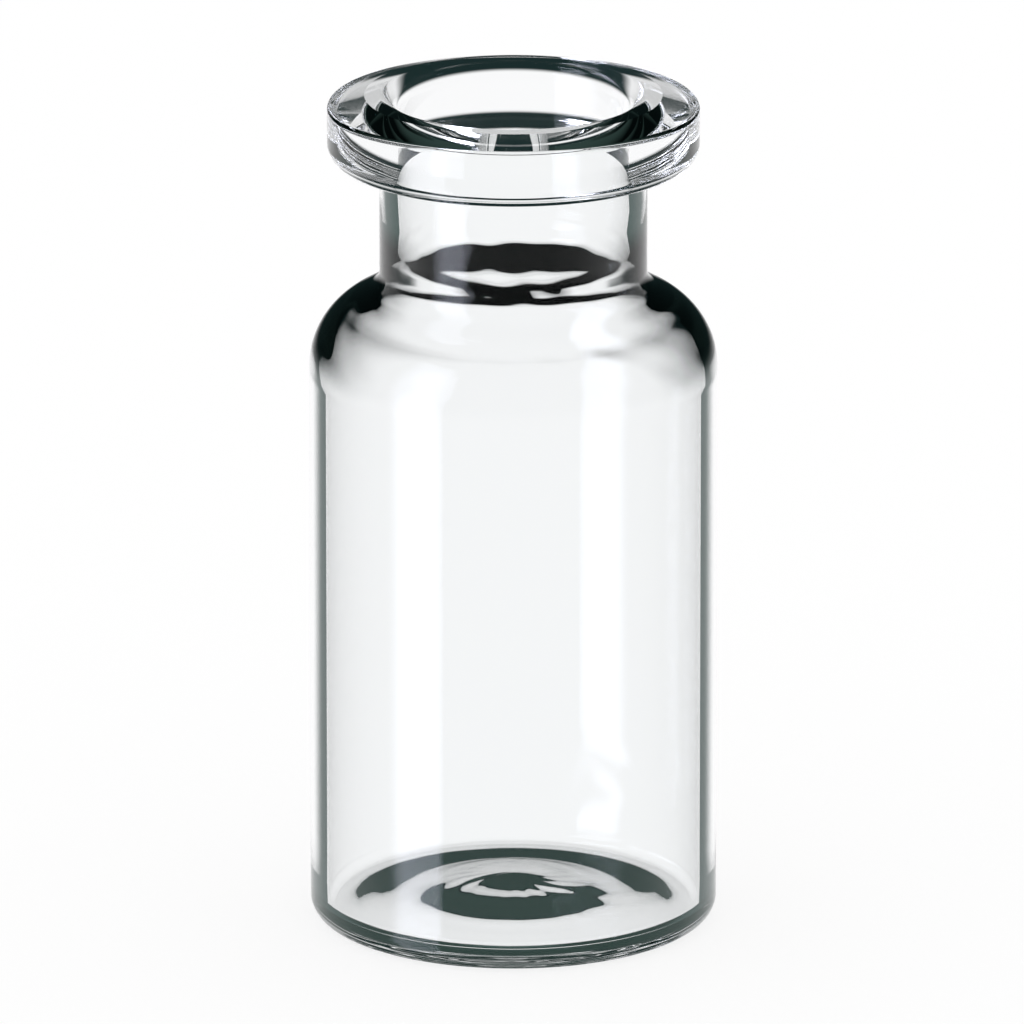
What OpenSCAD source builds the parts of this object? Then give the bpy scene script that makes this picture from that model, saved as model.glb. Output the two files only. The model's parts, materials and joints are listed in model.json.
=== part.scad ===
// Glass sample vial with a 20 mm crimp finish, formed from one length of clear glass tube.
// Units are millimetres. The base stands on z = 0 and the axis of the vial is z.

/* [Body] */
// Overall height, from the standing ring to the top of the mouth
height = 46; // [42:0.1:70]
// Outer diameter of the body
body_d = 22; // [21:0.1:26]
// Wall thickness of the body and shoulder
body_wall = 0.9; // [0.7:0.05:1.3]

/* [Base] */
// Outer radius of the heel, between base and body
heel_r = 1.2; // [0.8:0.1:2]
// Width of the level ring that the vial stands on
ring_w = 0.5; // [0.3:0.05:1.5]
// Depth of the hollow under the base, inside the standing ring
hollow_depth = 1.1; // [0.4:0.05:1.4]
// Share of the hollow's radius that is a dome, the rest blending into the ring
hollow_dome = 0.9; // [0.4:0.05:0.95]
// Glass thickness at the middle of the base
base_t = 1.2; // [0.8:0.05:1.6]
// Height of the channel round the inside floor, above the standing ring
channel_z = 1.1; // [0.8:0.05:1.6]
// Width of the level bottom of that channel
channel_w = 0.9; // [0.3:0.05:2]
// Share of the floor's mound that is a dome, the rest blending into the channel
mound_dome = 0.5; // [0.3:0.05:0.95]
// Inside radius between floor and wall
corner_r = 0.6; // [0.3:0.05:1.5]

/* [Shoulder] */
// Outer radius where the body turns in to the shoulder
shoulder_r = 4.4; // [3:0.1:5]
// Slope of the shoulder, in degrees above level
shoulder_slope = 29; // [20:1:40]
// Fillet radius between shoulder and neck
neck_fillet_r = 1.2; // [0.8:0.1:2]
// Inside radius where the body turns in to the shoulder
arch_r = 3.8; // [3:0.1:5]
// Slope of the inside of the shoulder, in degrees above level
inside_slope = 38; // [32:1:50]
// Largest inside radius between shoulder and bore
throat_size = 5.7; // [4:0.1:7]
// Height of the bore's lower end above the top of the neck's fillet
throat_lead = 1.7; // [0.5:0.1:2.5]

/* [Neck] */
// Outer diameter of the neck
neck_d = 14.4; // [13.8:0.1:15.4]
// Wall thickness of the neck, between it and the bore
neck_wall = 1; // [0.8:0.05:1.3]
// Height of the neck, from the top of its fillet to the underside of the flange
neck_h = 6; // [3:0.1:9]

/* [Flange] */
// Outer diameter of the flange that the crimp cap grips
flange_d = 20; // [19.7:0.05:20.2]
// Height of the flange, from its underside to the top of the mouth
flange_h = 3.7; // [3.4:0.05:3.9]
// Radius of the lower edge of the flange
flange_low_r = 1.1; // [0.5:0.05:1.3]
// Radius of the upper edge of the flange
flange_top_r = 0.35; // [0.2:0.05:0.6]
// Radius between the underside of the flange and the neck
flange_fillet_r = 0.3; // [0.2:0.05:0.8]
// Radius of the lip at the mouth
lip_r = 1; // [0.3:0.05:1.2]
// Width of the level sealing face, round the lip
seal_w = 0.8; // [0.3:0.05:1.4]
// Drop of the top face, from the sealing face out to its upper edge
bevel_drop = 0.45; // [0.1:0.05:0.6]

/* [Hidden] */
$fn = 180;
glass = [0.84, 0.91, 0.9, 0.45];
// Overlap that keeps cuts clear of the faces that they cut through
clear = 1;
// Depth by which a slanted line or an arc runs into the arc that it meets, for a clean crossing
nip = 0.0005;

body_r = body_d / 2;
inner_r = body_r - body_wall;
neck_r = neck_d / 2;
bore_r = neck_r - neck_wall;
flange_r = flange_d / 2;
seal_r = bore_r + lip_r + seal_w;

// Direction that is square to a slope, pointing up and out
function square_to(slope) = [sin(slope), cos(slope)];

// Centre of an arc at this radius from the axis, where one straight slope touches both it
// and the arc above it
function arc_below(upper_c, upper_r, lower_out, lower_r, slope) =
    [lower_out, upper_c.y
        - (upper_r + lower_r - (upper_c.x - lower_out) * sin(slope)) / cos(slope)];

// Outside of the shoulder, from the neck down: each arc's centre is [radius, height]
flange_z = height - flange_h;
fillet_c = [neck_r + neck_fillet_r, flange_z - neck_h];
shoulder_c = arc_below(fillet_c, neck_fillet_r, body_r - shoulder_r, shoulder_r, shoulder_slope);

// Inside of the shoulder, where the two arcs have the width between bore and body to turn in
turn_w = inner_r - bore_r;
throat_r = min(throat_size, turn_w / (1 - sin(inside_slope)) - arch_r - nip);
throat_c = [bore_r + throat_r, fillet_c.y + throat_lead];
arch_c = arc_below(throat_c, throat_r, inner_r - arch_r, arch_r, inside_slope);

// Base: a hollow under it and a mound on its inside floor, which a channel runs round
hollow_r = body_r - heel_r - ring_w;
mound_r = inner_r - corner_r - channel_w;
mound_h = hollow_depth + base_t - channel_z;

module disc(centre, r) {
    translate(centre) circle(r);
}

// Half section of a mound with its foot at this radius: a dome in the middle takes its share
// of the radius, and an arc blends it into the level
module mound(foot_r, h, dome) {
    both_r = (foot_r * foot_r + h * h) / (2 * h);
    dome_r = dome * both_r;
    blend_r = both_r - dome_r;
    disc([0, h - dome_r], dome_r);
    difference() {
        polygon([
            [0, 0],
            [foot_r, 0],
            [foot_r * dome, h - dome_r + dome_r * (both_r - h) / both_r]
        ]);
        disc([foot_r, blend_r - nip], blend_r + nip);
    }
}

// Half section of the body, shoulder and neck as if they were solid
module body_outline() {
    difference() {
        union() {
            polygon([
                [0, 0],
                [body_r - heel_r, 0],
                [body_r, heel_r],
                [body_r, shoulder_c.y],
                shoulder_c + (shoulder_r - nip) * square_to(shoulder_slope),
                fillet_c - (neck_fillet_r - nip) * square_to(shoulder_slope),
                [neck_r, fillet_c.y],
                [neck_r, height - flange_h / 2],
                [0, height - flange_h / 2]
            ]);
            disc([body_r - heel_r, heel_r], heel_r);
            disc(shoulder_c, shoulder_r);
        }
        disc(fillet_c, neck_fillet_r);
        mound(hollow_r, hollow_depth, hollow_dome);
    }
}

// Half section of the flange, with its rounded edges and its sloping top
module flange_outline() {
    low = [flange_r - flange_low_r, flange_z + flange_low_r];
    top = [flange_r - flange_top_r, height - bevel_drop - flange_top_r];
    seal = [seal_r, height];
    // Slope of the line from the sealing face that just touches the upper edge's arc
    reach = norm(top - seal);
    lean = atan2(seal.y - top.y, top.x - seal.x) - asin(flange_top_r / reach);
    touch = top + (flange_top_r - nip) * [sin(lean), cos(lean)];
    polygon([
        [0, flange_z],
        [low.x, flange_z],
        [flange_r, low.y],
        [flange_r, top.y],
        touch,
        seal,
        [0, height]
    ]);
    disc(low, flange_low_r);
    disc(top, flange_top_r);
    difference() {
        translate([neck_r, flange_z - flange_fillet_r])
            square([flange_fillet_r, 2 * flange_fillet_r]);
        disc([neck_r + flange_fillet_r, flange_z - flange_fillet_r], flange_fillet_r);
    }
}

// Half section of the space inside, from the mound on the floor to the rounded lip
module inside() {
    corner_c = [inner_r - corner_r, channel_z + corner_r];
    difference() {
        union() {
            polygon([
                [0, channel_z],
                [corner_c.x, channel_z],
                [inner_r, corner_c.y],
                [inner_r, arch_c.y],
                arch_c + (arch_r - nip) * square_to(inside_slope),
                throat_c - (throat_r - nip) * square_to(inside_slope),
                [bore_r, throat_c.y],
                [bore_r, height + clear],
                [0, height + clear]
            ]);
            disc(corner_c, corner_r);
            disc(arch_c, arch_r);
        }
        disc(throat_c, throat_r);
        translate([0, channel_z]) mound(mound_r, mound_h, mound_dome);
    }
    difference() {
        translate([0, height - lip_r]) square([bore_r + lip_r, lip_r + clear]);
        disc([bore_r + lip_r, height - lip_r], lip_r);
    }
}

module vial() {
    color(glass) rotate_extrude() difference() {
        union() {
            body_outline();
            flange_outline();
        }
        inside();
    }
}

vial();
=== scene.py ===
"""Clear glass sample vial with a crimp finish, in a plain bright studio.

The file is laid out as a Blender add-on and is run as a script: main() registers it and calls
its operators in order.
"""

import json
import math

import bpy
import numpy as np
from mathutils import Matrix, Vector


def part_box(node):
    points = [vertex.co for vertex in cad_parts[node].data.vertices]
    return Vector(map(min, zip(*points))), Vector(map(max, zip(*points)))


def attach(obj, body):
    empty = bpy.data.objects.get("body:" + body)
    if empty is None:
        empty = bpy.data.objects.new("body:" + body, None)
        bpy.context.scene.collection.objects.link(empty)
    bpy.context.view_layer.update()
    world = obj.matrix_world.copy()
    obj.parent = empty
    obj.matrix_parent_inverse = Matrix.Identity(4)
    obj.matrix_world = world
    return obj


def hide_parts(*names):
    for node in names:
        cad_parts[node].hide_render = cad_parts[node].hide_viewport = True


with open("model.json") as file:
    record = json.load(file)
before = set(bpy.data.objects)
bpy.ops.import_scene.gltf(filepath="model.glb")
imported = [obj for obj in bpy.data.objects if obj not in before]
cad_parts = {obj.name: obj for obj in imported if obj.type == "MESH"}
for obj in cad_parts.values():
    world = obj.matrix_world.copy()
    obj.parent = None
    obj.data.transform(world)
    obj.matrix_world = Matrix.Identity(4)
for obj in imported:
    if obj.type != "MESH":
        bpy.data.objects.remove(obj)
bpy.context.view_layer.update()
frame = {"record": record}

bl_info = {
    "name": "Glass sample vial",
    "version": (1, 0, 0),
    "blender": (4, 5, 0),
    "location": "3D View > Sidebar > Vial",
    "description": "Blows a clear crimp-finish vial round its packed solid and lights it",
    "category": "Add Mesh",
}

MM = 0.001

VIAL_LOW, VIAL_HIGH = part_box("vial")
MOUNTS = {mount["name"]: mount["dims"] for mount in frame["record"]["mounts"]}

# Spacing of the glass mesh: degrees and length along an arc, length along a straight run,
# faces all round
ARC_STEP = 4
ARC_RUN = 0.5 * MM
LINE_RUN = 1.2 * MM
TURNS = 320

# Points nearer than this are one point, and the step that a slope is measured over
NEAR = 1e-7
NUDGE = 1e-6

# The flame's waves: how many are laid over each other, how often the first comes round the
# vial, how much oftener each next one does, how much steeper it runs, and the turn between
# them that never lines two up
WAVES = 6
FIRST_ROUND = 4
NEXT_ROUND = 3
NEXT_STEEPER = 0.25
GOLDEN_ANGLE = math.radians(137.5)

# Half width of the soft box's sharp edges
BOX_EDGE = math.radians(1)


def length(name, description, default, low, high):
    """A size in metres, given here in millimetres."""
    return bpy.props.FloatProperty(name=name, description=description, default=default * MM,
                                   min=low * MM, max=high * MM, unit="LENGTH", precision=5)


def angle(name, description, default, low=-90, high=90):
    """An angle in radians, given here in degrees."""
    return bpy.props.FloatProperty(name=name, description=description,
                                   default=math.radians(default), min=math.radians(low),
                                   max=math.radians(high), subtype="ANGLE")


def share(name, description, default, high=1.0):
    """A plain number from zero up."""
    return bpy.props.FloatProperty(name=name, description=description, default=default,
                                   min=0.0, max=high, precision=3)


def colour(name, description, default):
    """A colour with red, green and blue."""
    return bpy.props.FloatVectorProperty(name=name, description=description, default=default,
                                         size=3, min=0.0, max=1.0, subtype="COLOR")


class VialSizes(bpy.types.PropertyGroup):
    """Sizes of the glass; those that the packed solid tells are taken from it."""

    height: length("Height", "From the standing ring to the mouth",
                   (VIAL_HIGH.z - VIAL_LOW.z) / MM, 20, 120)
    body_radius: length("Body radius", "Outside of the body",
                        (VIAL_HIGH.x - VIAL_LOW.x) / 2 / MM, 5, 30)
    body_wall: length("Body wall", "Glass thickness of the body", 0.9, 0.5, 2)

    heel_radius: length("Heel radius", "Outside, between base and body", 1.2, 0.5, 3)
    ring_width: length("Ring width", "Level ring that the vial stands on", 0.5, 0.2, 2)
    hollow_depth: length("Hollow depth", "Depth of the hollow under the base", 1.1, 0.2, 3)
    hollow_dome: share("Hollow dome", "Share of the hollow's radius that is a dome", 0.9)
    base_wall: length("Base wall", "Glass thickness at the middle of the base", 1.2, 0.5, 3)
    channel_height: length("Channel height", "Channel round the floor, above the ring",
                           1.1, 0.5, 3)
    channel_width: length("Channel width", "Level bottom of that channel", 0.9, 0.2, 3)
    mound_dome: share("Mound dome", "Share of the floor's mound that is a dome", 0.5)
    corner_radius: length("Corner radius", "Inside, between floor and wall", 0.6, 0.2, 3)

    shoulder_radius: length("Shoulder radius", "Outside, body to shoulder", 4.4, 1, 8)
    shoulder_slope: angle("Shoulder slope", "Outside, above level", 29, 5, 70)
    neck_fillet: length("Neck fillet", "Outside, shoulder to neck", 1.2, 0.3, 4)
    arch_radius: length("Arch radius", "Inside, body to shoulder", 3.8, 1, 8)
    inside_slope: angle("Inside slope", "Inside of the shoulder, above level", 38, 5, 70)
    throat_radius: length("Throat radius", "Inside, shoulder to bore", 5.7, 0.5, 8)
    throat_lead: length("Throat lead", "Bore's end above the neck fillet", 1.7, -2, 4)

    neck_radius: length("Neck radius", "Outside of the neck", 7.2, 3, 15)
    neck_height: length("Neck height", "From its fillet to the flange", 6.0, 2, 12)
    bore_radius: length("Bore radius", "Bore through the neck",
                        MOUNTS["mouth"]["r_mm"], 2, 14)

    flange_radius: length("Flange radius", "Flange that the crimp cap grips",
                          MOUNTS["crimp_flange"]["r_mm"], 4, 20)
    flange_height: length("Flange height", "From its underside to the mouth", 3.7, 1, 8)
    flange_low_radius: length("Lower edge", "Radius of the flange's lower edge", 1.1, 0.2, 2)
    flange_top_radius: length("Upper edge", "Radius of the flange's upper edge", 0.35, 0.1, 1)
    flange_fillet: length("Flange fillet", "Between flange and neck", 0.3, 0.1, 2)
    seal_radius: length("Sealing face", "Outside of the level face on top", 8.0, 4, 18)
    bevel_drop: length("Bevel drop", "From the sealing face to the upper edge", 0.45, 0, 2)
    lip_radius: length("Lip radius", "Rounding of the mouth", 1.0, 0.2, 2)


class VialGlass(bpy.types.PropertyGroup):
    """Look of the glass."""

    body_colour: colour("Body colour", "Tint of light that passes straight through",
                        (0.961, 0.971, 0.972))
    # Painted shade: the dark tint that the wall takes where it traps light
    painted_shade_colour: colour("Trapped colour", "Tint of light that is trapped in the wall",
                           (0.03, 0.045, 0.045))
    # Painted glow: a faint light that the wall gives off where it traps light
    painted_glow_colour: colour("Depth colour", "Glow that the wall keeps where it traps light",
                         (0.028, 0.05, 0.044))
    # Painted shade: the darker tint that the shoulder takes where it traps light
    painted_shoulder_shade_colour: colour("Shoulder colour", "Tint of light that is trapped in the shoulder",
                            (0.004, 0.008, 0.007))
    mirror_colour: colour("Mirror colour", "Tint of what the glass mirrors head on",
                          (0.2, 0.2, 0.2))
    index: share("Index of refraction", "How strongly the glass bends light", 1.49, 3)
    # Painted shade: cosines, base to flange, at which the painted dark of trapped light clears
    base_reach: share("Base reach", "Cosine at which the base's trapped light clears", 0.35)
    shoulder_reach: share("Shoulder reach", "Cosine at which the shoulder's trapped light clears",
                          0.0)
    barrel_reach: share("Barrel reach", "Cosine at which the body's trapped light clears", 0.713)
    neck_reach: share("Neck reach", "Cosine at which the neck's trapped light clears", 0.662)
    flange_reach: share("Flange reach", "Cosine at which the flange's trapped light clears", 1)
    reach_soft: share("Soft edge", "Half width of the change at those cosines", 0.015)
    # Painted shade: how far the shoulder's painted dark reaches past the trapped light
    side_painted_shade: share("Side tint", "How far the shoulder's dark goes past the trapped light", 0.5)
    side_painted_shade_end: share("Side tint's end", "Cosine at which that tint ends", 0.88)
    ripple: length("Flame ripple", "Height of the waves that the flame leaves inside",
                   0.012, 0, 0.2)
    floor_ripple: share("Floor ripple", "Share of that height on the inside floor", 0.8)
    ring_height: length("Ring height", "Height of the rings inside the shoulder", 0.035, 0, 0.2)
    ring_spacing: length("Ring spacing", "From one ring to the next", 1.7, 0.5, 5)
    floor_ring_height: length("Floor ring height", "Height of the rings on the inside floor",
                              0.05, 0, 0.2)
    floor_ring_spacing: length("Floor ring spacing", "From one ring to the next", 4, 0.5, 10)
    rim_ripple: length("Rim ripple", "Height of the waves on the outside of the flange",
                       0.004, 0, 0.2)
    heel_ripple: length("Heel ripple", "Height of the waves on the outside of the heel",
                        0.0015, 0, 0.2)


class VialStudio(bpy.types.PropertyGroup):
    """Floor, light and camera."""

    floor_width: length("Floor width", "Width of the pale floor", 8000, 100, 50000)
    shadow_share: share("Shadow share", "Share of the floor that takes shadows", 0.15)
    surround_bright: colour("Bright surround", "Below the horizon, as the glass sees it",
                            (1.0, 0.995, 1.0))
    surround_dark: colour("Dark surround", "Above the horizon, as the glass sees it",
                          (0.012, 0.026, 0.026))
    horizon_low: angle("Horizon, low edge", "Elevation where the bright surround ends", 2)
    horizon_high: angle("Horizon, high edge", "Elevation where the dark surround begins", 14)
    mirror_drop: angle("Mirror drop", "How much lower the horizon is, mirrored outside", 18)
    steep_start: angle("Steep, start", "Below this, what shows through one wall darkens", -31)
    steep_end: angle("Steep, end", "Elevation where that is dark", -40)
    below_start: angle("Below, start", "Elevation where it starts to clear again", -72)
    below_end: angle("Below, end", "Elevation where it is bright again", -80)
    band_middle: angle("Dark band", "Elevation of a dark band that shows through more", -67.2)
    band_half: angle("Dark band, half", "From its middle to either edge", 1.4, 0, 20)
    box_near: angle("Soft box, near edge", "Azimuth from the front to its sharp edge", 43, 0, 180)
    box_fade: angle("Soft box, fade", "Azimuth where its far side starts to fade", 66, 0, 180)
    box_far: angle("Soft box, far edge", "Azimuth where its far side ends", 77, 0, 180)
    box_low: angle("Soft box, bottom", "Elevation of its lower edge", -45)
    box_high: angle("Soft box, top", "Elevation of its upper edge", 50)
    box_strength: share("Soft box strength", "Its brightness, where it is mirrored", 8, 50)
    box_colour: colour("Soft box colour", "Tint of its light", (0.82, 0.85, 1.0))
    camera_elevation: angle("Camera elevation", "Height of the view above level", 16.7)
    camera_distance: length("Camera distance", "From the point that it aims at", 1000, 100, 5000)
    view_width: length("View width", "Width of the view at that point", 55.23, 20, 500)
    aim_height: length("Aim height", "Height of that point on the axis", 22.64, 0, 100)
    aim_side: length("Aim side", "How far that point lies to the right", -0.075, -10, 10)


class Value:
    """A node's output that works in expressions: each operator adds one Math node."""

    def __init__(self, graph, socket):
        self.graph = graph
        self.socket = socket

    def output(self, name):
        """Another output of the same node."""
        return Value(self.graph, self.socket.node.outputs[name])

    def __add__(self, other):
        return self.graph.math("ADD", self, other)

    def __radd__(self, other):
        return self.graph.math("ADD", other, self)

    def __sub__(self, other):
        return self.graph.math("SUBTRACT", self, other)

    def __rsub__(self, other):
        return self.graph.math("SUBTRACT", other, self)

    def __mul__(self, other):
        return self.graph.math("MULTIPLY", self, other)

    def __rmul__(self, other):
        return self.graph.math("MULTIPLY", other, self)

    def __neg__(self):
        return self.graph.math("MULTIPLY", self, -1)

    def __lt__(self, other):
        return self.graph.math("LESS_THAN", self, other)


class Graph:
    """The emptied node tree of a material or of the world."""

    def __init__(self, owner):
        owner.use_nodes = True
        self.tree = owner.node_tree
        self.tree.nodes.clear()

    def add(self, kind, settings=None, inputs=None, output=0):
        """Adds a node, sets it, fills its sockets with values or links, returns one output."""
        node = self.tree.nodes.new(kind)
        for name, setting in (settings or {}).items():
            setattr(node, name, setting)
        for name, value in (inputs or {}).items():
            if isinstance(value, Value):
                self.tree.links.new(value.socket, node.inputs[name])
            else:
                node.inputs[name].default_value = value
        return Value(self, node.outputs[output]) if node.outputs else None

    def math(self, operation, *values):
        return self.add("ShaderNodeMath", {"operation": operation}, dict(enumerate(values)))

    def fade(self, value, start, end):
        """Rises smoothly from 0 where value is start to 1 where it is end."""
        return self.add("ShaderNodeMapRange", {"interpolation_type": "SMOOTHSTEP"},
                        {"Value": value, "From Min": start, "From Max": end})

    def mix(self, factor, first, second):
        """Mixes two shaders."""
        return self.add("ShaderNodeMixShader", None, {0: factor, 1: first, 2: second})


class Section:
    """Half section of the glass, walked with the glass on the left.

    Points are (radius, height). Each run between two points keeps the exact surface normals
    at its two ends, so that arcs look round and corners stay crisp.
    """

    def __init__(self, radius, height):
        self.points = [Vector((radius, height))]
        self.normals = []

    def line(self, radius, height):
        end = Vector((radius, height))
        along = end - self.points[-1]
        if along.length < NEAR:
            return
        parts = math.ceil(along.length / LINE_RUN)
        normal = Vector((along.y, -along.x)).normalized()
        for i in range(parts, 0, -1):
            self.points.append(end - along * (i - 1) / parts)
            self.normals.append((normal, normal))

    def arc(self, centre, radius, first, last):
        """Arc between two angles in degrees, counted from the outward radius."""
        side = math.copysign(1, last - first)
        parts = math.ceil(max(abs(last - first) / ARC_STEP,
                              radius * math.radians(abs(last - first)) / ARC_RUN))
        angles = [math.radians(first + (last - first) * i / parts) for i in range(parts + 1)]
        spokes = [Vector((math.cos(a), math.sin(a))) for a in angles]
        self.line(*(centre + radius * spokes[0]))
        for start, end in zip(spokes, spokes[1:]):
            self.points.append(centre + radius * end)
            self.normals.append((side * start, side * end))


def arc_below(upper, upper_radius, lower_out, lower_radius, slope):
    """Centre of the lower arc, where one straight slope touches it and the upper arc."""
    reach = upper_radius + lower_radius
    drop = (reach - (upper.x - lower_out) * math.sin(slope)) / math.cos(slope)
    return Vector((lower_out, upper.y - drop))


def dome_arcs(radius, height, dome_share):
    """Radii of the dome and of the arc that blends it into the level, and the dome's angle."""
    total = (radius ** 2 + height ** 2) / (2 * height)
    return dome_share * total, (1 - dome_share) * total, math.degrees(math.asin(radius / total))


def walk_base_outside(section, s):
    heel = Vector((s.body_radius - s.heel_radius, s.heel_radius))
    hollow = heel.x - s.ring_width
    dome, blend, reach = dome_arcs(hollow, s.hollow_depth, s.hollow_dome)
    section.arc(Vector((0, s.hollow_depth - dome)), dome, 90, 90 - reach)
    section.arc(Vector((hollow, blend)), blend, 270 - reach, 270)
    section.arc(heel, s.heel_radius, -90, 0)


def walk_shoulder_outside(section, s):
    slope = math.degrees(s.shoulder_slope)
    fillet = Vector((s.neck_radius + s.neck_fillet, s.height - s.flange_height - s.neck_height))
    shoulder = arc_below(fillet, s.neck_fillet, s.body_radius - s.shoulder_radius,
                         s.shoulder_radius, s.shoulder_slope)
    section.arc(shoulder, s.shoulder_radius, 0, 90 - slope)
    section.arc(fillet, s.neck_fillet, 270 - slope, 180)


def walk_flange(section, s):
    underside = s.height - s.flange_height
    fillet = Vector((s.neck_radius + s.flange_fillet, underside - s.flange_fillet))
    low = Vector((s.flange_radius - s.flange_low_radius, underside + s.flange_low_radius))
    top = Vector((s.flange_radius - s.flange_top_radius,
                  s.height - s.bevel_drop - s.flange_top_radius))
    # Lean of the bevel, which runs from the sealing face and just touches the upper edge
    fall = Vector((top.x - s.seal_radius, s.height - top.y))
    lean = math.degrees(math.atan2(fall.y, fall.x)
                        - math.asin(s.flange_top_radius / fall.length))
    lip = Vector((s.bore_radius + s.lip_radius, s.height - s.lip_radius))
    section.arc(fillet, s.flange_fillet, 180, 90)
    section.arc(low, s.flange_low_radius, -90, 0)
    section.arc(top, s.flange_top_radius, 0, 90 - lean)
    section.line(s.seal_radius, s.height)
    section.arc(lip, s.lip_radius, 90, 180)


def inside_arcs(s):
    """Centres of the throat and of the arch, the two arcs inside the shoulder."""
    fillet_height = s.height - s.flange_height - s.neck_height
    throat = Vector((s.bore_radius + s.throat_radius, fillet_height + s.throat_lead))
    arch_out = s.body_radius - s.body_wall - s.arch_radius
    arch = arc_below(throat, s.throat_radius, arch_out, s.arch_radius, s.inside_slope)
    return throat, arch


def walk_shoulder_inside(section, s):
    slope = math.degrees(s.inside_slope)
    throat, arch = inside_arcs(s)
    section.arc(throat, s.throat_radius, 180, 270 - slope)
    section.arc(arch, s.arch_radius, 90 - slope, 0)


def walk_floor(section, s):
    level = s.channel_height
    corner = Vector((s.body_radius - s.body_wall - s.corner_radius, level + s.corner_radius))
    foot = corner.x - s.channel_width
    top = s.hollow_depth + s.base_wall
    dome, blend, reach = dome_arcs(foot, top - level, s.mound_dome)
    section.arc(corner, s.corner_radius, 0, -90)
    section.arc(Vector((foot, level + blend)), blend, 270, 270 - reach)
    section.arc(Vector((0, top - dome)), dome, 90 - reach, 90)


def glass_section(s):
    """Whole section, from the middle of the underside round to the middle of the floor."""
    section = Section(0, s.hollow_depth)
    walk_base_outside(section, s)
    walk_shoulder_outside(section, s)
    walk_flange(section, s)
    walk_shoulder_inside(section, s)
    walk_floor(section, s)
    return section


def smooth(value, start, end):
    """Rises smoothly from 0 where value is start to 1 where it is end."""
    t = np.clip((value - start) / (end - start), 0, 1)
    return t * t * (3 - 2 * t)


def shoulder_share(height, s, soft):
    """1 in the shoulder, where the flame worked the tube, fading out past its two ends."""
    throat, arch = inside_arcs(s)
    below = smooth(height, arch.y, arch.y + 2 * soft)
    return below * (1 - smooth(height, throat.y, throat.y + soft))


def inside_ripple(waves, radius, height, s, glass):
    """Waves in the neck, the shoulder and the floor, and the rings of the turning tube."""
    throat, arch = inside_arcs(s)
    lip = s.height - s.lip_radius
    neck = smooth(height, arch.y, arch.y + s.body_wall)
    neck = neck * (1 - smooth(height, lip - 4 * s.body_wall, lip - s.body_wall))
    floor_top = s.hollow_depth + s.base_wall
    floor = 1 - smooth(height, floor_top, floor_top + s.body_wall)
    # The mound on the floor, without the channel round it
    foot = s.body_radius - s.body_wall - s.corner_radius - s.channel_width
    mound = floor * (1 - smooth(radius, foot - 2 * s.body_wall, foot))
    # The waves die out at the middle of the floor, where they would crowd together
    floor = floor * smooth(radius, 0, 2 * s.base_wall)
    waved = neck + shoulder_share(height, s, s.body_wall) / 2 + floor * glass.floor_ripple

    rings = np.cos((height - throat.y) / glass.ring_spacing * 2 * math.pi)
    rings = -glass.ring_height * rings * shoulder_share(height, s, 2 * s.body_wall)
    floor_rings = np.cos(radius / glass.floor_ring_spacing * 2 * math.pi)
    rings = rings + glass.floor_ring_height * floor_rings * mound
    return waves * glass.ripple * waved + rings


def outside_ripple(waves, radius, height, s, glass):
    """Finer waves on the outside of the flange and of the heel."""
    underside = s.height - s.flange_height
    rim = smooth(height, underside, underside + s.flange_low_radius)
    rim = rim * (1 - smooth(height, s.height - s.bevel_drop, s.height))
    heel_start = s.body_radius - s.heel_radius
    heel = 1 - smooth(height, s.heel_radius, s.heel_radius + 2 * s.body_wall)
    heel = heel * smooth(radius, heel_start - s.body_wall, heel_start)
    return waves * (glass.rim_ripple * rim + glass.heel_ripple * heel)


def flame_ripple(radius, height, turn, s, glass, inside):
    """How far the glass stands off its true surface, where the tube was worked in the flame."""
    waves = 0
    for wave in range(WAVES):
        around = FIRST_ROUND + NEXT_ROUND * wave
        along = (height - radius) / s.body_wall * (1 + wave * NEXT_STEEPER)
        waves = waves + np.cos(around * turn + along + wave * GOLDEN_ANGLE) / WAVES
    return np.where(inside, inside_ripple(waves, radius, height, s, glass),
                    outside_ripple(waves, radius, height, s, glass))


def painted_shade_reach(height, s, glass):
    """Cosine where the painted shade of trapped light clears again, at each height of the glass."""
    throat, arch = inside_arcs(s)
    edge = s.body_wall
    underside = s.height - s.flange_height
    # From the base up: the heights where each change starts and ends, and the cosine above it
    steps = (
        (s.heel_radius, s.heel_radius + 2 * edge, glass.barrel_reach),
        (arch.y + edge, arch.y + 4.5 * edge, glass.shoulder_reach),
        (throat.y, throat.y + edge, glass.neck_reach),
        (underside - edge / 2, underside, glass.flange_reach),
    )
    reach = glass.base_reach
    for start, end, above in steps:
        reach = reach + (above - reach) * smooth(height, start, end)
    return reach


def spin(pairs, turns):
    """Turns (outward, up) pairs about the axis by each angle: one row per pair."""
    out, up = pairs[..., 0:1] * np.cos(turns)[..., None], pairs[..., 1:2]
    side = pairs[..., 0:1] * np.sin(turns)[..., None]
    return np.concatenate([out, side, np.broadcast_to(up, out.shape)], axis=-1)


def rippled_normals(points, normals, inside, turns, s, glass):
    """Spun normals at one end of every run, tilted by the slope of the ripple there."""
    along = np.stack([-normals[:, 1], normals[:, 0]], axis=1)

    def depth(at, turn):
        return flame_ripple(at[:, 0:1], at[:, 1:2], turn, s, glass, inside[:, None])

    up_slope = (depth(points + NUDGE * along, turns)
                - depth(points - NUDGE * along, turns)) / (2 * NUDGE)
    round_slope = (depth(points, turns + NUDGE) - depth(points, turns - NUDGE)) / (2 * NUDGE)
    round_slope = round_slope / np.maximum(points[:, 0:1], NUDGE)
    tilted = normals[:, None, :] - up_slope[..., None] * along[:, None, :]
    spun = spin(tilted, turns[None, :])
    tangent = np.stack([-np.sin(turns), np.cos(turns), np.zeros_like(turns)], axis=-1)
    spun = spun - round_slope[..., None] * tangent[None]
    return spun / np.linalg.norm(spun, axis=-1, keepdims=True)


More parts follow.
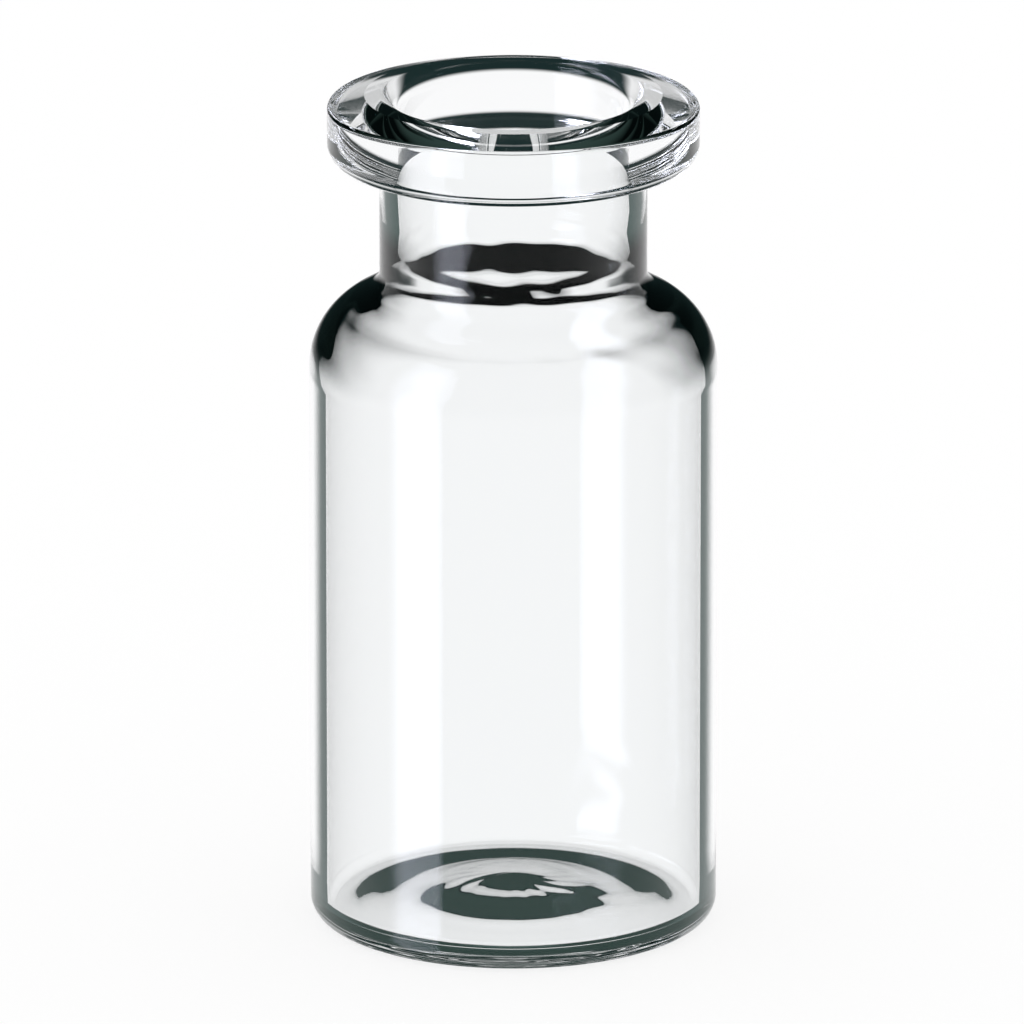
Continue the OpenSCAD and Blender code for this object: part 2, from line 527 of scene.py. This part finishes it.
def lathe(name, section, s, glass):
    """Turns a section that starts and ends on the axis into a closed mesh."""
    points = np.array([tuple(p) for p in section.points])
    starts = np.array([tuple(n[0]) for n in section.normals])
    ends = np.array([tuple(n[1]) for n in section.normals])
    turns = np.linspace(0, 2 * math.pi, TURNS, endpoint=False)

    # The inside starts past the top of the mouth
    mouth = int(np.argmax(points[:, 1]))
    inside = np.arange(len(points)) > mouth
    middle = np.vstack([starts[:1], starts[1:] + ends[:-1], ends[-1:]])
    middle /= np.linalg.norm(middle, axis=1)[:, None]
    depth = flame_ripple(points[:, 0:1], points[:, 1:2], turns, s, glass, inside[:, None])
    rings = spin(points[:, None, :] + depth[..., None] * middle[:, None, :], turns[None, :])
    first = rippled_normals(points[:-1], starts, inside[:-1], turns, s, glass)
    second = rippled_normals(points[1:], ends, inside[1:], turns, s, glass)

    last = len(points) - 1
    tip = 1 + (last - 1) * TURNS
    verts = [tuple(rings[0, 0])]
    verts += [tuple(v) for v in rings[1:-1].reshape(-1, 3)]
    verts.append(tuple(rings[-1, 0]))
    faces, normals = [], []
    for j in range(TURNS):
        k = (j + 1) % TURNS
        faces.append((0, 1 + k, 1 + j))
        normals += [first[0, j], second[0, k], second[0, j]]
        for run in range(1, last - 1):
            low, high = 1 + (run - 1) * TURNS, 1 + run * TURNS
            faces.append((low + j, low + k, high + k, high + j))
            normals += [first[run, j], first[run, k], second[run, k], second[run, j]]
        low = 1 + (last - 2) * TURNS
        faces.append((low + j, low + k, tip))
        normals += [first[last - 1, j], first[last - 1, k], second[last - 1, j]]

    mesh = bpy.data.meshes.new(name)
    mesh.from_pydata(verts, [], faces)
    mesh.polygons.foreach_set("use_smooth", [True] * len(faces))
    mesh.normals_split_custom_set([tuple(n) for n in normals])
    heights = np.array(verts)[:, 2]
    # Painted shade: the cosine where it clears, and the shoulder's darker share
    reach = mesh.attributes.new("reach", "FLOAT", "POINT")
    reach.data.foreach_set("value", painted_shade_reach(heights, s, glass))
    shoulder = mesh.attributes.new("shoulder", "FLOAT", "POINT")
    shoulder.data.foreach_set("value", shoulder_share(heights, s, s.body_wall))
    piece = bpy.data.objects.new(name, mesh)
    bpy.context.scene.collection.objects.link(piece)
    return piece


def clear_glass(look):
    """Clear glass with painted shade and a faint painted glow where the wall traps light."""
    material = bpy.data.materials.new("clear_glass")
    graph = Graph(material)
    clear = graph.add("ShaderNodeBsdfPrincipled", None, {
        "Base Color": (*look.body_colour, 1),
        "Roughness": 0.0,
        "IOR": look.index,
        "Specular Tint": (*look.mirror_colour, 1),
        "Transmission Weight": 1.0,
    })
    # Painted shade: glass tinted dark in the wall, and darker still in the shoulder
    dim, dark = (
        graph.add("ShaderNodeBsdfGlass", None, {
            "Color": (*tint, 1),
            "Roughness": 0.0,
            "IOR": look.index,
        })
        for tint in (look.painted_shade_colour, look.painted_shoulder_shade_colour)
    )
    # Painted glow: the wall gives off a faint light of its own
    glow = graph.add("ShaderNodeEmission", None, {"Color": (*look.painted_glow_colour, 1)})
    wall = graph.add("ShaderNodeAddShader", None, {0: dim, 1: glow})
    shoulder = graph.add("ShaderNodeAttribute", {"attribute_name": "shoulder"}, output="Fac")
    painted_shade_and_glow = graph.mix(shoulder, wall, dark)

    # The wall traps the light that reaches it from inside the glass at less than this cosine
    critical = math.sqrt(1 - 1 / look.index ** 2)
    cosine = 1 - graph.add("ShaderNodeLayerWeight", None, {"Blend": 0.5}, output="Facing")
    from_inside = graph.add("ShaderNodeNewGeometry", output="Backfacing")
    reach = graph.add("ShaderNodeAttribute", {"attribute_name": "reach"}, output="Fac")
    # Painted shade where the wall traps light, cleared below the cosine that the height gives
    is_trapped = cosine < critical
    trapped = is_trapped * graph.fade(cosine, reach - look.reach_soft, reach + look.reach_soft)
    # In the shoulder the painted shade reaches a little past the trapped light
    side = (1 - is_trapped) * (1 - graph.fade(cosine, critical, look.side_painted_shade_end))
    side = side * shoulder * look.side_painted_shade
    # The painted shade and glow show only from inside the glass
    depth = from_inside * (trapped + side)
    graph.add("ShaderNodeOutputMaterial", None, {"Surface": graph.mix(depth, clear, painted_shade_and_glow)})
    return material


def pale_floor(look):
    """White floor that mostly glows by itself and takes a faint shadow."""
    material = bpy.data.materials.new("pale_floor")
    graph = Graph(material)
    glow = graph.add("ShaderNodeEmission", None, {"Color": (1, 1, 1, 1), "Strength": 1.0})
    matt = graph.add("ShaderNodeBsdfDiffuse", None, {"Color": (1, 1, 1, 1)})
    surface = graph.mix(look.shadow_share, glow, matt)
    graph.add("ShaderNodeOutputMaterial", None, {"Surface": surface})
    return material


def studio_light(look):
    """Plain white; in the glass a bright low surround, dark above and steeply below, a soft box."""
    world = bpy.data.worlds.new("studio_light")
    graph = Graph(world)
    direction = graph.add("ShaderNodeTexCoord", output="Generated")
    x = graph.add("ShaderNodeSeparateXYZ", None, {"Vector": direction}, output="X")
    elevation = graph.math("ARCSINE", x.output("Z"))
    azimuth = graph.math("ARCTAN2", -x, -x.output("Y"))
    is_glossy = graph.add("ShaderNodeLightPath", output="Is Glossy Ray")
    # Faces of the glass that the light has passed: none outside it, two through one wall
    faces_passed = is_glossy.output("Transmission Depth")
    outside = faces_passed < 0.5
    one_wall = faces_passed < 2.5
    mirrored = 1 - (is_glossy.output("Glossy Depth") < 0.5)

    ceiling = graph.fade(elevation + outside * look.mirror_drop,
                         look.horizon_low, look.horizon_high)
    steep = 1 - graph.fade(elevation, look.steep_end, look.steep_start)
    steep = steep * graph.fade(elevation, look.below_end, look.below_start) * one_wall
    off_band = graph.math("ABSOLUTE", elevation - look.band_middle)
    band = 1 - graph.fade(off_band, look.band_half - BOX_EDGE / 3, look.band_half + BOX_EDGE / 3)
    past_walls = graph.math("MAXIMUM", band, mirrored) * (1 - one_wall)
    dark = graph.math("MAXIMUM", graph.math("MAXIMUM", ceiling, steep), past_walls)

    # The soft box shows where the glass mirrors it, and not straight through the glass
    across = graph.fade(azimuth, look.box_near - BOX_EDGE, look.box_near + BOX_EDGE)
    across = across * (1 - graph.fade(azimuth, look.box_fade, look.box_far))
    upright = graph.fade(elevation, look.box_low - BOX_EDGE, look.box_low + BOX_EDGE)
    upright = upright * (1 - graph.fade(elevation, look.box_high - BOX_EDGE,
                                        look.box_high + BOX_EDGE))

    plain = graph.add("ShaderNodeBackground", None, {"Color": (1, 1, 1, 1), "Strength": 1.0})
    pale = graph.add("ShaderNodeBackground", None, {"Color": (*look.surround_bright, 1)})
    shade = graph.add("ShaderNodeBackground", None, {"Color": (*look.surround_dark, 1)})
    box = graph.add("ShaderNodeBackground", None, {
        "Color": (*look.box_colour, 1),
        "Strength": across * upright * mirrored * look.box_strength,
    })
    in_glass = graph.add("ShaderNodeAddShader", None, {0: graph.mix(dark, pale, shade), 1: box})
    seen_in_glass = graph.math("MAXIMUM", is_glossy, is_glossy.output("Is Transmission Ray"))
    surface = graph.mix(seen_in_glass, plain, in_glass)
    graph.add("ShaderNodeOutputWorld", None, {"Surface": surface})
    return world


class VIAL_OT_glass(bpy.types.Operator):
    """Blow the vial: one piece of clear glass that stands for the packed solid"""

    bl_idname = "vial.glass"
    bl_label = "Blow the vial"

    def execute(self, context):
        sizes, look = context.scene.vial_sizes, context.scene.vial_glass
        vial = lathe("vial_glass", glass_section(sizes), sizes, look)
        if len(vial.data.polygons) < TURNS:
            raise RuntimeError("the section of the vial has no length")
        vial.data.materials.append(clear_glass(look))
        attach(vial, "root")
        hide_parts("vial")
        return {"FINISHED"}


class VIAL_OT_studio(bpy.types.Operator):
    """Set the stage: pale floor, soft light and camera"""

    bl_idname = "vial.studio"
    bl_label = "Set the stage"

    def execute(self, context):
        scene, look = context.scene, context.scene.vial_studio
        if look.view_width <= 0:
            raise RuntimeError("the camera needs a view with some width")
        half = look.floor_width / 2
        mesh = bpy.data.meshes.new("floor")
        corners = [(-half, -half, 0), (half, -half, 0), (half, half, 0), (-half, half, 0)]
        mesh.from_pydata(corners, [], [(0, 1, 2, 3)])
        mesh.materials.append(pale_floor(look))
        floor = bpy.data.objects.new("floor", mesh)
        # The glass looks through the floor to the bright surround below it
        floor.visible_glossy = False
        floor.visible_transmission = False
        scene.collection.objects.link(floor)

        scene.world = studio_light(look)
        # Light turns many times in the thick flange and base before it leaves the glass
        scene.cycles.max_bounces = 32
        scene.cycles.glossy_bounces = 24
        scene.cycles.transmission_bounces = 24
        scene.view_settings.view_transform = "Standard"

        camera = bpy.data.objects.new("camera", bpy.data.cameras.new("camera"))
        lens = camera.data
        lens.lens = lens.sensor_width * look.camera_distance / look.view_width
        lens.clip_start = 0.01
        lens.clip_end = look.floor_width
        up = look.camera_elevation
        back = Vector((0, -math.cos(up), math.sin(up)))
        aim = Vector((look.aim_side, 0, look.aim_height))
        camera.location = aim + back * look.camera_distance
        camera.rotation_euler = (math.radians(90) - up, 0, 0)
        scene.collection.objects.link(camera)
        scene.camera = camera
        return {"FINISHED"}


class VIAL_PT_build(bpy.types.Panel):
    """Buttons and sizes of the vial"""

    bl_label = "Glass vial"
    bl_idname = "VIAL_PT_build"
    bl_space_type = "VIEW_3D"
    bl_region_type = "UI"
    bl_category = "Vial"

    def draw(self, context):
        for operator in OPERATORS:
            self.layout.operator(operator.bl_idname)
        for group in GROUPS:
            box = self.layout.box()
            box.label(text=group.__doc__.split(";")[0])
            values = getattr(context.scene, GROUPS[group])
            for name in group.__annotations__:
                box.prop(values, name)


GROUPS = {VialSizes: "vial_sizes", VialGlass: "vial_glass", VialStudio: "vial_studio"}
OPERATORS = (VIAL_OT_glass, VIAL_OT_studio)


def register():
    for group, name in GROUPS.items():
        bpy.utils.register_class(group)
        setattr(bpy.types.Scene, name, bpy.props.PointerProperty(type=group))
    for operator in OPERATORS:
        bpy.utils.register_class(operator)
    bpy.utils.register_class(VIAL_PT_build)


def unregister():
    bpy.utils.unregister_class(VIAL_PT_build)
    for operator in reversed(OPERATORS):
        bpy.utils.unregister_class(operator)
    for group, name in reversed(GROUPS.items()):
        delattr(bpy.types.Scene, name)
        bpy.utils.unregister_class(group)


def main():
    register()
    bpy.ops.vial.glass()
    bpy.ops.vial.studio()


if __name__ == "__main__":
    main()
